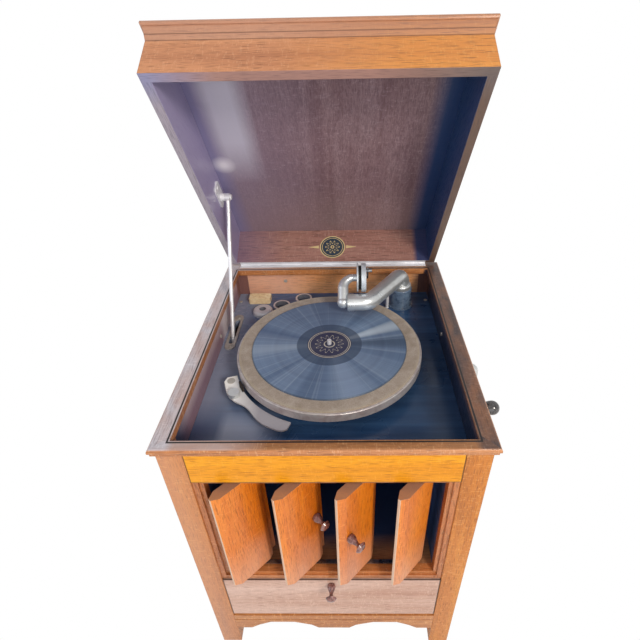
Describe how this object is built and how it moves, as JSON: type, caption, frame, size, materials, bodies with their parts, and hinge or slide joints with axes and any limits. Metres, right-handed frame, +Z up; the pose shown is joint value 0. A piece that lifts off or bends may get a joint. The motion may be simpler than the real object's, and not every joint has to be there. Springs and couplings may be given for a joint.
{
  "type": "wind-up gramophone",
  "caption": "Wind-up gramophone in an oak case on short feet, with lid on a stay, turntable, tonearm, soundbox, crank, tone leaves and record space.",
  "frame": {"origin": "middle of the bottom of the overall box, lid open and crank hanging, on the floor under the feet", "axes": "+Z up, +X to the crank's side, +Y to the hinge at the back"},
  "size_m": [0.5376, 0.564, 0.9969],
  "materials": {
    "oak": "varnished quarter-sawn oak",
    "dark_oak": "stained oak",
    "black_board": "black-stained board",
    "hidden_wood": "plain softwood",
    "mahogany": "polished turned hardwood",
    "nickel": "worn nickel plate",
    "steel": "bare steel",
    "brass": "machined brass",
    "black_iron": "black enamel",
    "felt": "worn felt",
    "shellac": "pressed shellac",
    "rubber": "rubber gasket",
    "mica": "mica sheet",
    "leather": "leather pad",
    "cream": "moulded cream block"
  },
  "bodies": {
    "cabinet": {"posts": "oak", "case_panels": "oak", "top_rail": "oak", "louvre_frame": "oak", "pivot_pins": "steel", "shelves": "hidden_wood", "aprons": "oak", "rim": "oak", "board_cleats": "hidden_wood", "motor_board": "black_board", "needle_cups": "nickel", "used_needle_cup": "nickel", "cream_block": "cream", "stay_plate": "nickel", "screws": "nickel", "horn_top": "black_board", "horn_sides": "black_board", "horn_throat": "black_iron", "hinge_base": "nickel", "motor_plates": "steel", "motor_pillars": "steel", "motor_bolts": "steel", "escutcheon": "nickel", "arm_cup": "black_iron", "arm_post": "nickel"},
    "lid": {"lid_walls": "dark_oak", "lid_top": "dark_oak", "hinge_lid": "nickel", "stay_bracket": "nickel"},
    "stay": {"stay_rod": "nickel"},
    "turntable": {"spindle": "steel", "platter": "nickel", "felt": "felt", "record": "shellac"},
    "barrel": {"barrel": "steel"},
    "arbor": {"barrel_arbor": "steel"},
    "middle": {"middle_shaft": "brass"},
    "governor": {"governor": "brass"},
    "crank": {"winding_shaft": "steel", "crank": "nickel"},
    "grip": {"crank_grip": "mahogany"},
    "arm": {"tonearm": "nickel"},
    "soundbox": {"gooseneck": "nickel", "sound_shell": "nickel", "sound_gasket": "rubber", "sound_mica": "mica", "stylus": "steel"},
    "brake": {"brake_lever": "nickel", "brake_pad": "leather"},
    "speed": {"speed_knob": "nickel"},
    "leaf_1": {"leaf_1": "oak"},
    "leaf_2": {"leaf_2": "oak", "leaf_knob_2": "mahogany"},
    "leaf_3": {"leaf_3": "oak", "leaf_knob_3": "mahogany"},
    "leaf_4": {"leaf_4": "oak"},
    "link": {"leaf_link": "steel"},
    "flap": {"flap": "oak", "flap_knob": "mahogany"}
  },
  "joints": [
    {"name": "lid_hinge", "type": "hinge", "parent": "cabinet", "child": "lid", "pos_m": [-0.0518, 0.21444, 0.5624], "axis": [-1, 0, 0], "range_deg": [-57.4, 0]},
    {"name": "stay_pivot", "type": "hinge", "parent": "lid", "child": "stay", "pos_m": [-0.2338, 0.16953, 0.72395], "axis": [-1, 0, 0], "range_deg": [0, 36]},
    {"name": "turntable_spin", "type": "hinge", "parent": "cabinet", "child": "turntable", "pos_m": [-0.0518, -0.02186, 0.535], "axis": [0, 0, 1], "continuous": true},
    {"name": "barrel_spin", "type": "hinge", "parent": "cabinet", "child": "barrel", "pos_m": [0.0322, 0.00914, 0.415], "axis": [0, 0, 1], "continuous": true},
    {"name": "middle_spin", "type": "hinge", "parent": "cabinet", "child": "middle", "pos_m": [-0.00457, -0.0304, 0.4], "axis": [0, 0, 1], "continuous": true},
    {"name": "governor_spin", "type": "hinge", "parent": "cabinet", "child": "governor", "pos_m": [-0.09179, -0.03469, 0.415], "axis": [0, 0, 1], "continuous": true},
    {"name": "crank_turn", "type": "hinge", "parent": "cabinet", "child": "crank", "pos_m": [0.1482, 0.00914, 0.462], "axis": [1, 0, 0], "continuous": true},
    {"name": "arbor_spin", "type": "hinge", "parent": "cabinet", "child": "arbor", "pos_m": [0.0322, 0.00914, 0.44], "axis": [0, 0, 1], "continuous": true},
    {"name": "grip_spin", "type": "hinge", "parent": "crank", "child": "grip", "pos_m": [0.2282, 0.00914, 0.355], "axis": [1, 0, 0], "continuous": true},
    {"name": "arm_swing", "type": "hinge", "parent": "cabinet", "child": "arm", "pos_m": [0.0847, 0.15814, 0.52], "axis": [0, 0, 1], "range_deg": [-12, 31]},
    {"name": "soundbox_turn", "type": "hinge", "parent": "arm", "child": "soundbox", "pos_m": [-0.0218, 0.06148, 0.567], "axis": [1, 0, 0], "range_deg": [0, 131]},
    {"name": "brake_swing", "type": "hinge", "parent": "cabinet", "child": "brake", "pos_m": [-0.20577, -0.08282, 0.513], "axis": [0, 0, 1], "range_deg": [-8, 3]},
    {"name": "speed_turn", "type": "hinge", "parent": "brake", "child": "speed", "pos_m": [-0.19502, -0.11345, 0.518], "axis": [0, 0, 1], "range_deg": [-160, 160]},
    {"name": "leaf_1_turn", "type": "hinge", "parent": "cabinet", "child": "leaf_1", "pos_m": [-0.17405, -0.23886, 0.37], "axis": [0, 0, 1], "range_deg": [-45, 40]},
    {"name": "leaf_2_turn", "type": "hinge", "parent": "cabinet", "child": "leaf_2", "pos_m": [-0.09255, -0.23886, 0.37], "axis": [0, 0, 1], "range_deg": [-45, 40]},
    {"name": "leaf_3_turn", "type": "hinge", "parent": "cabinet", "child": "leaf_3", "pos_m": [-0.01105, -0.23886, 0.37], "axis": [0, 0, 1], "range_deg": [-45, 40]},
    {"name": "leaf_4_turn", "type": "hinge", "parent": "cabinet", "child": "leaf_4", "pos_m": [0.07045, -0.23886, 0.37], "axis": [0, 0, 1], "range_deg": [-45, 40]},
    {"name": "link_pivot", "type": "hinge", "parent": "leaf_2", "child": "link", "pos_m": [-0.09008, -0.2286, 0.256], "axis": [0, 0, 1], "range_deg": [-40, 45]},
    {"name": "flap_hinge", "type": "hinge", "parent": "cabinet", "child": "flap", "pos_m": [-0.0518, -0.23786, 0.116], "axis": [1, 0, 0], "range_deg": [0, 90]}
  ],
  "couplings": [
    {"joint": "stay_pivot", "follows": "lid_hinge", "ratio": -0.613},
    {"joint": "middle_spin", "follows": "turntable_spin", "ratio": -0.33333},
    {"joint": "barrel_spin", "follows": "turntable_spin", "ratio": 0.066667},
    {"joint": "governor_spin", "follows": "turntable_spin", "ratio": -6},
    {"joint": "arbor_spin", "follows": "crank_turn", "ratio": 0.5},
    {"joint": "leaf_1_turn", "follows": "leaf_2_turn", "ratio": 1},
    {"joint": "leaf_3_turn", "follows": "leaf_2_turn", "ratio": 1},
    {"joint": "leaf_4_turn", "follows": "leaf_2_turn", "ratio": 1},
    {"joint": "link_pivot", "follows": "leaf_2_turn", "ratio": -1}
  ]
}
